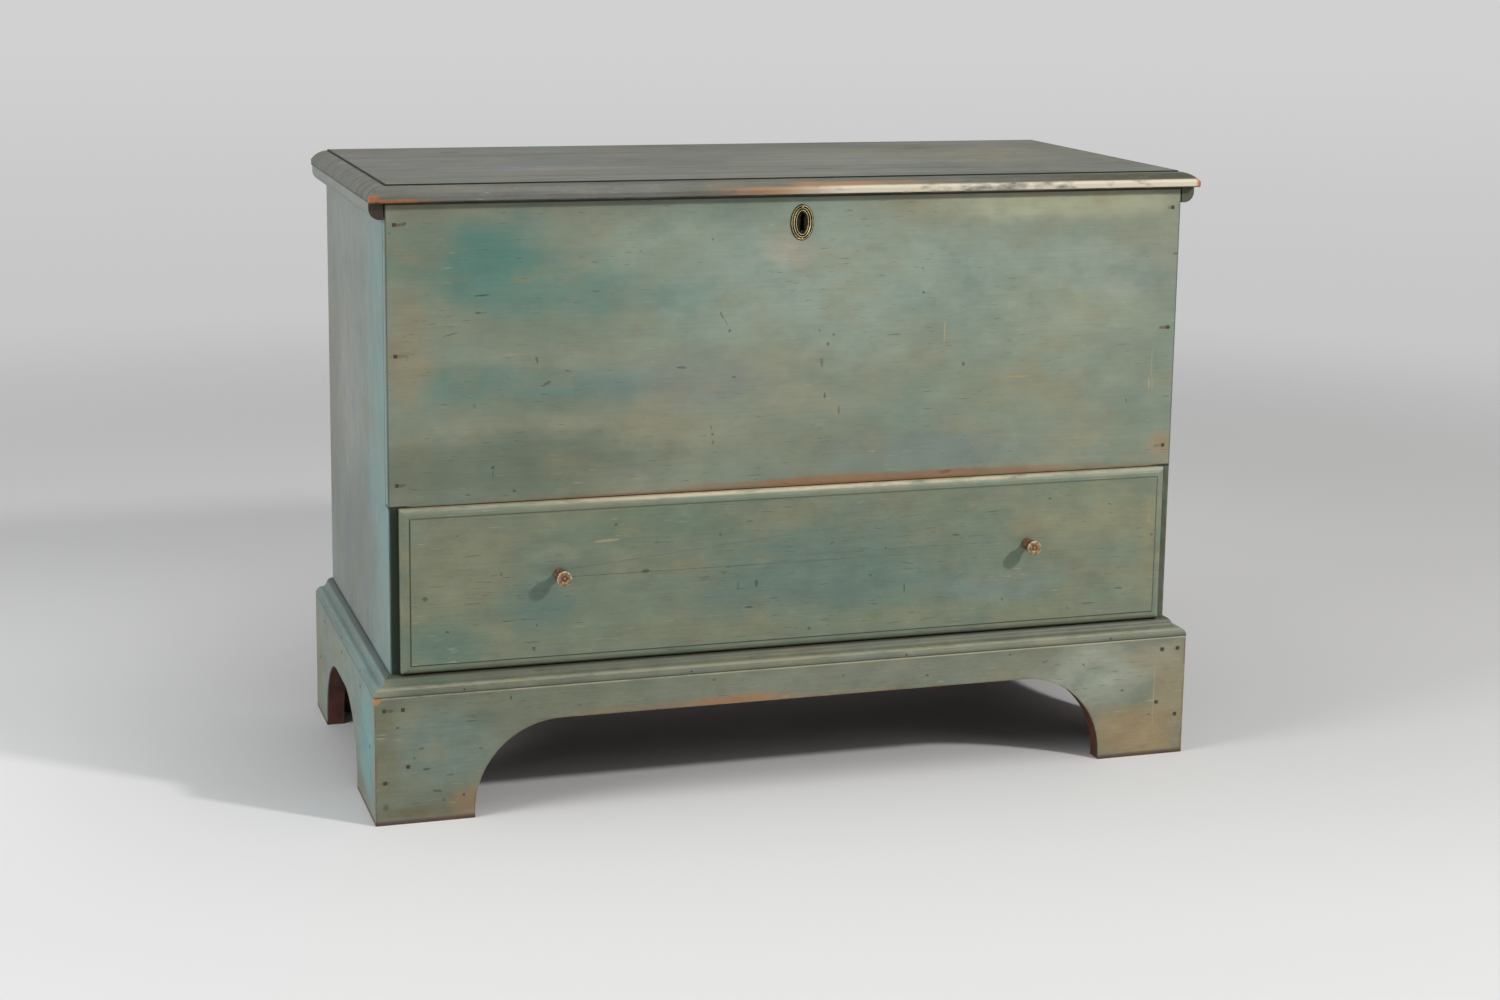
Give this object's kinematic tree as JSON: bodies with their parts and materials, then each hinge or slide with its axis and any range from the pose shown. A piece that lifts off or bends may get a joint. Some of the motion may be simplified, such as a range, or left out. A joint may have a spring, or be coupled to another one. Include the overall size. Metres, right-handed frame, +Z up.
{
  "type": "mule chest",
  "caption": "Painted pine mule chest: lift-top well over a long lipped drawer, on a bracket base with sawn arches, with an oval brass escutcheon, turned knobs and worn blue-green paint.",
  "frame": {"origin": "on the floor, under the middle of everything the chest reaches, knobs and hinges included", "axes": "+X to the chest's right as one faces it, -Y out of the front, +Z up"},
  "size_m": [1.13, 0.5502, 0.8123],
  "materials": {
    "painted_pine": "old blue-green paint, rubbed thin and worn at the edges, satin",
    "painted_lid": "old grey-green paint, rubbed and dusty, satin",
    "bare_pine": "unpainted old pine, darkened",
    "worn_knob_wood": "turned wood with its paint worn off by hands",
    "brass": "aged brass, dark in the hollows",
    "wrought_iron": "old iron, brown-black",
    "nail_iron": "cut nails, dark, partly painted over"
  },
  "bodies": {
    "case": {"side_left": "painted_pine", "side_right": "painted_pine", "front_board": "painted_pine", "back_board_upper": "bare_pine", "back_board_lower": "bare_pine", "well_floor": "bare_pine", "case_bottom": "bare_pine", "base_front": "painted_pine", "base_left": "painted_pine", "base_right": "painted_pine", "rear_bracket_left": "bare_pine", "rear_bracket_right": "bare_pine", "moulding_front": "painted_pine", "moulding_left": "painted_pine", "moulding_right": "painted_pine", "foot_block_front_left": "bare_pine", "foot_block_front_right": "bare_pine", "foot_block_rear_left": "bare_pine", "foot_block_rear_right": "bare_pine", "glue_blocks": "bare_pine", "escutcheon": "brass", "escutcheon_pins": "brass", "lock_plate": "wrought_iron", "lock_cap": "wrought_iron", "lock_screws": "wrought_iron", "front_board_nails": "nail_iron", "base_front_nails": "nail_iron", "base_side_nails": "nail_iron", "moulding_brads": "nail_iron", "back_board_nails": "nail_iron", "hinge_case_leaf_left": "wrought_iron", "hinge_case_leaf_right": "wrought_iron", "hinge_pin_left": "wrought_iron", "hinge_pin_right": "wrought_iron", "hinge_case_screws": "wrought_iron"},
    "lid": {"lid_board": "painted_lid", "lid_cleat_left": "painted_lid", "lid_cleat_right": "painted_lid", "cleat_nails": "nail_iron", "hinge_lid_leaf_left": "wrought_iron", "hinge_lid_leaf_right": "wrought_iron", "hinge_lid_screws": "wrought_iron", "lock_keeper": "wrought_iron", "keeper_screws": "wrought_iron"},
    "drawer": {"drawer_front": "painted_pine", "drawer_side_left": "bare_pine", "drawer_side_right": "bare_pine", "drawer_back": "bare_pine", "drawer_bottom": "bare_pine", "drawer_bottom_nails": "nail_iron", "knob_left": "worn_knob_wood", "knob_right": "worn_knob_wood"},
    "lock_bolt": {"lock_bolt": "wrought_iron"}
  },
  "joints": [
    {"name": "lid_hinge", "type": "hinge", "parent": "case", "child": "lid", "pos_m": [0, 0.2715, 0.79115], "axis": [-1, 0, 0], "range_deg": [0, 100]},
    {"name": "drawer_slide", "type": "slide", "parent": "case", "child": "drawer", "axis": [0, -1, 0], "range_m": [0, 0.34]},
    {"name": "lock_bolt_slide", "type": "slide", "parent": "case", "child": "lock_bolt", "axis": [1, 0, 0], "range_m": [0, 0.009]}
  ]
}
